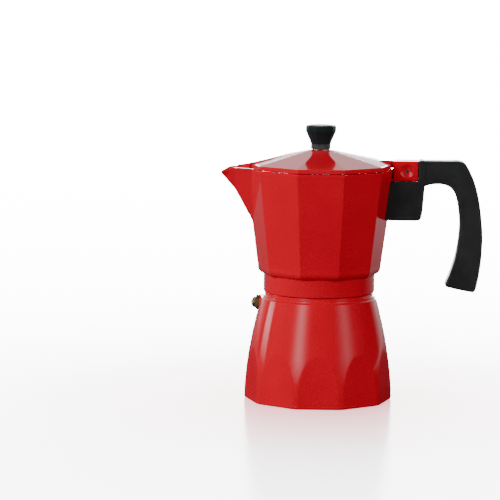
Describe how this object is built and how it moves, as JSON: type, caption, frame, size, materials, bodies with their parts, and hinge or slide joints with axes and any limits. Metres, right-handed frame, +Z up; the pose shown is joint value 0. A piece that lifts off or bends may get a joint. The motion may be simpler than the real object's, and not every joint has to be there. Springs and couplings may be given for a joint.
{
  "type": "moka pot",
  "caption": "Stovetop moka pot with an arched boiler, a ten-sided collector with a spout, a hinged lid with a knob, and a black side handle",
  "frame": {"origin": "centre of the boiler's flat base, on the pot's vertical axis", "axes": "+Z up, the spout points to -X, the handle to +X, and +Y completes the right hand"},
  "size_m": [0.1832, 0.0998, 0.193],
  "materials": {
    "boiler": "glossy red lacquer over cast aluminium",
    "valve_body": "turned brass",
    "valve_washer": "pressed fibre",
    "valve_spring": "spring steel wire",
    "valve_piston": "turned brass",
    "valve_cap": "turned brass",
    "funnel_basket": "pressed aluminium",
    "funnel_tube": "drawn aluminium",
    "basket_plate": "perforated aluminium sheet",
    "gasket": "white silicone",
    "filter_disc": "perforated aluminium sheet",
    "collector": "glossy red lacquer outside, bare cast aluminium inside",
    "column": "bare cast aluminium",
    "hinge_pin": "plain steel pin",
    "lid": "glossy red lacquer outside, bare aluminium inside",
    "knob": "black heat-resistant moulding",
    "knob_insert": "dark grey-green moulding",
    "knob_screw": "zinc-plated steel",
    "knob_washer": "zinc-plated steel",
    "handle": "black heat-resistant moulding",
    "handle_screw": "zinc-plated steel",
    "handle_washer": "zinc-plated steel"
  },
  "bodies": {
    "boiler": {"boiler": "boiler", "valve_body": "valve_body", "valve_washer": "valve_washer", "valve_spring": "valve_spring", "valve_cap": "valve_cap"},
    "valve_piston": {"valve_piston": "valve_piston"},
    "funnel": {"funnel_basket": "funnel_basket", "funnel_tube": "funnel_tube", "basket_plate": "basket_plate"},
    "seal": {"gasket": "gasket", "filter_disc": "filter_disc"},
    "collector": {"collector": "collector", "column": "column", "handle": "handle", "handle_screw": "handle_screw", "handle_washer": "handle_washer", "hinge_pin": "hinge_pin"},
    "lid": {"lid": "lid", "knob": "knob", "knob_insert": "knob_insert", "knob_screw": "knob_screw", "knob_washer": "knob_washer"}
  },
  "joints": [
    {"name": "valve_slide", "type": "slide", "parent": "boiler", "child": "valve_piston", "axis": [-0.9397, 0.342, 0], "range_m": [0, 0.0012], "stiffness_N_per_m": 600, "springref_m": -0.002, "deforming": ["valve_spring"]},
    {"name": "funnel_lift", "type": "slide", "parent": "boiler", "child": "funnel", "axis": [0, 0, 1], "range_m": [0, 0.085]},
    {"name": "seal_lift", "type": "slide", "parent": "funnel", "child": "seal", "axis": [0, 0, 1], "range_m": [0, 0.06]},
    {"name": "collector_turn", "type": "hinge", "parent": "seal", "child": "collector", "pos_m": [0, 0, 0.0825], "axis": [0, 0, 1], "range_deg": [0, 540]},
    {"name": "lid_hinge", "type": "hinge", "parent": "collector", "child": "lid", "pos_m": [0.0603, 0, 0.1618], "axis": [0, 1, 0], "range_deg": [0, 95]}
  ]
}
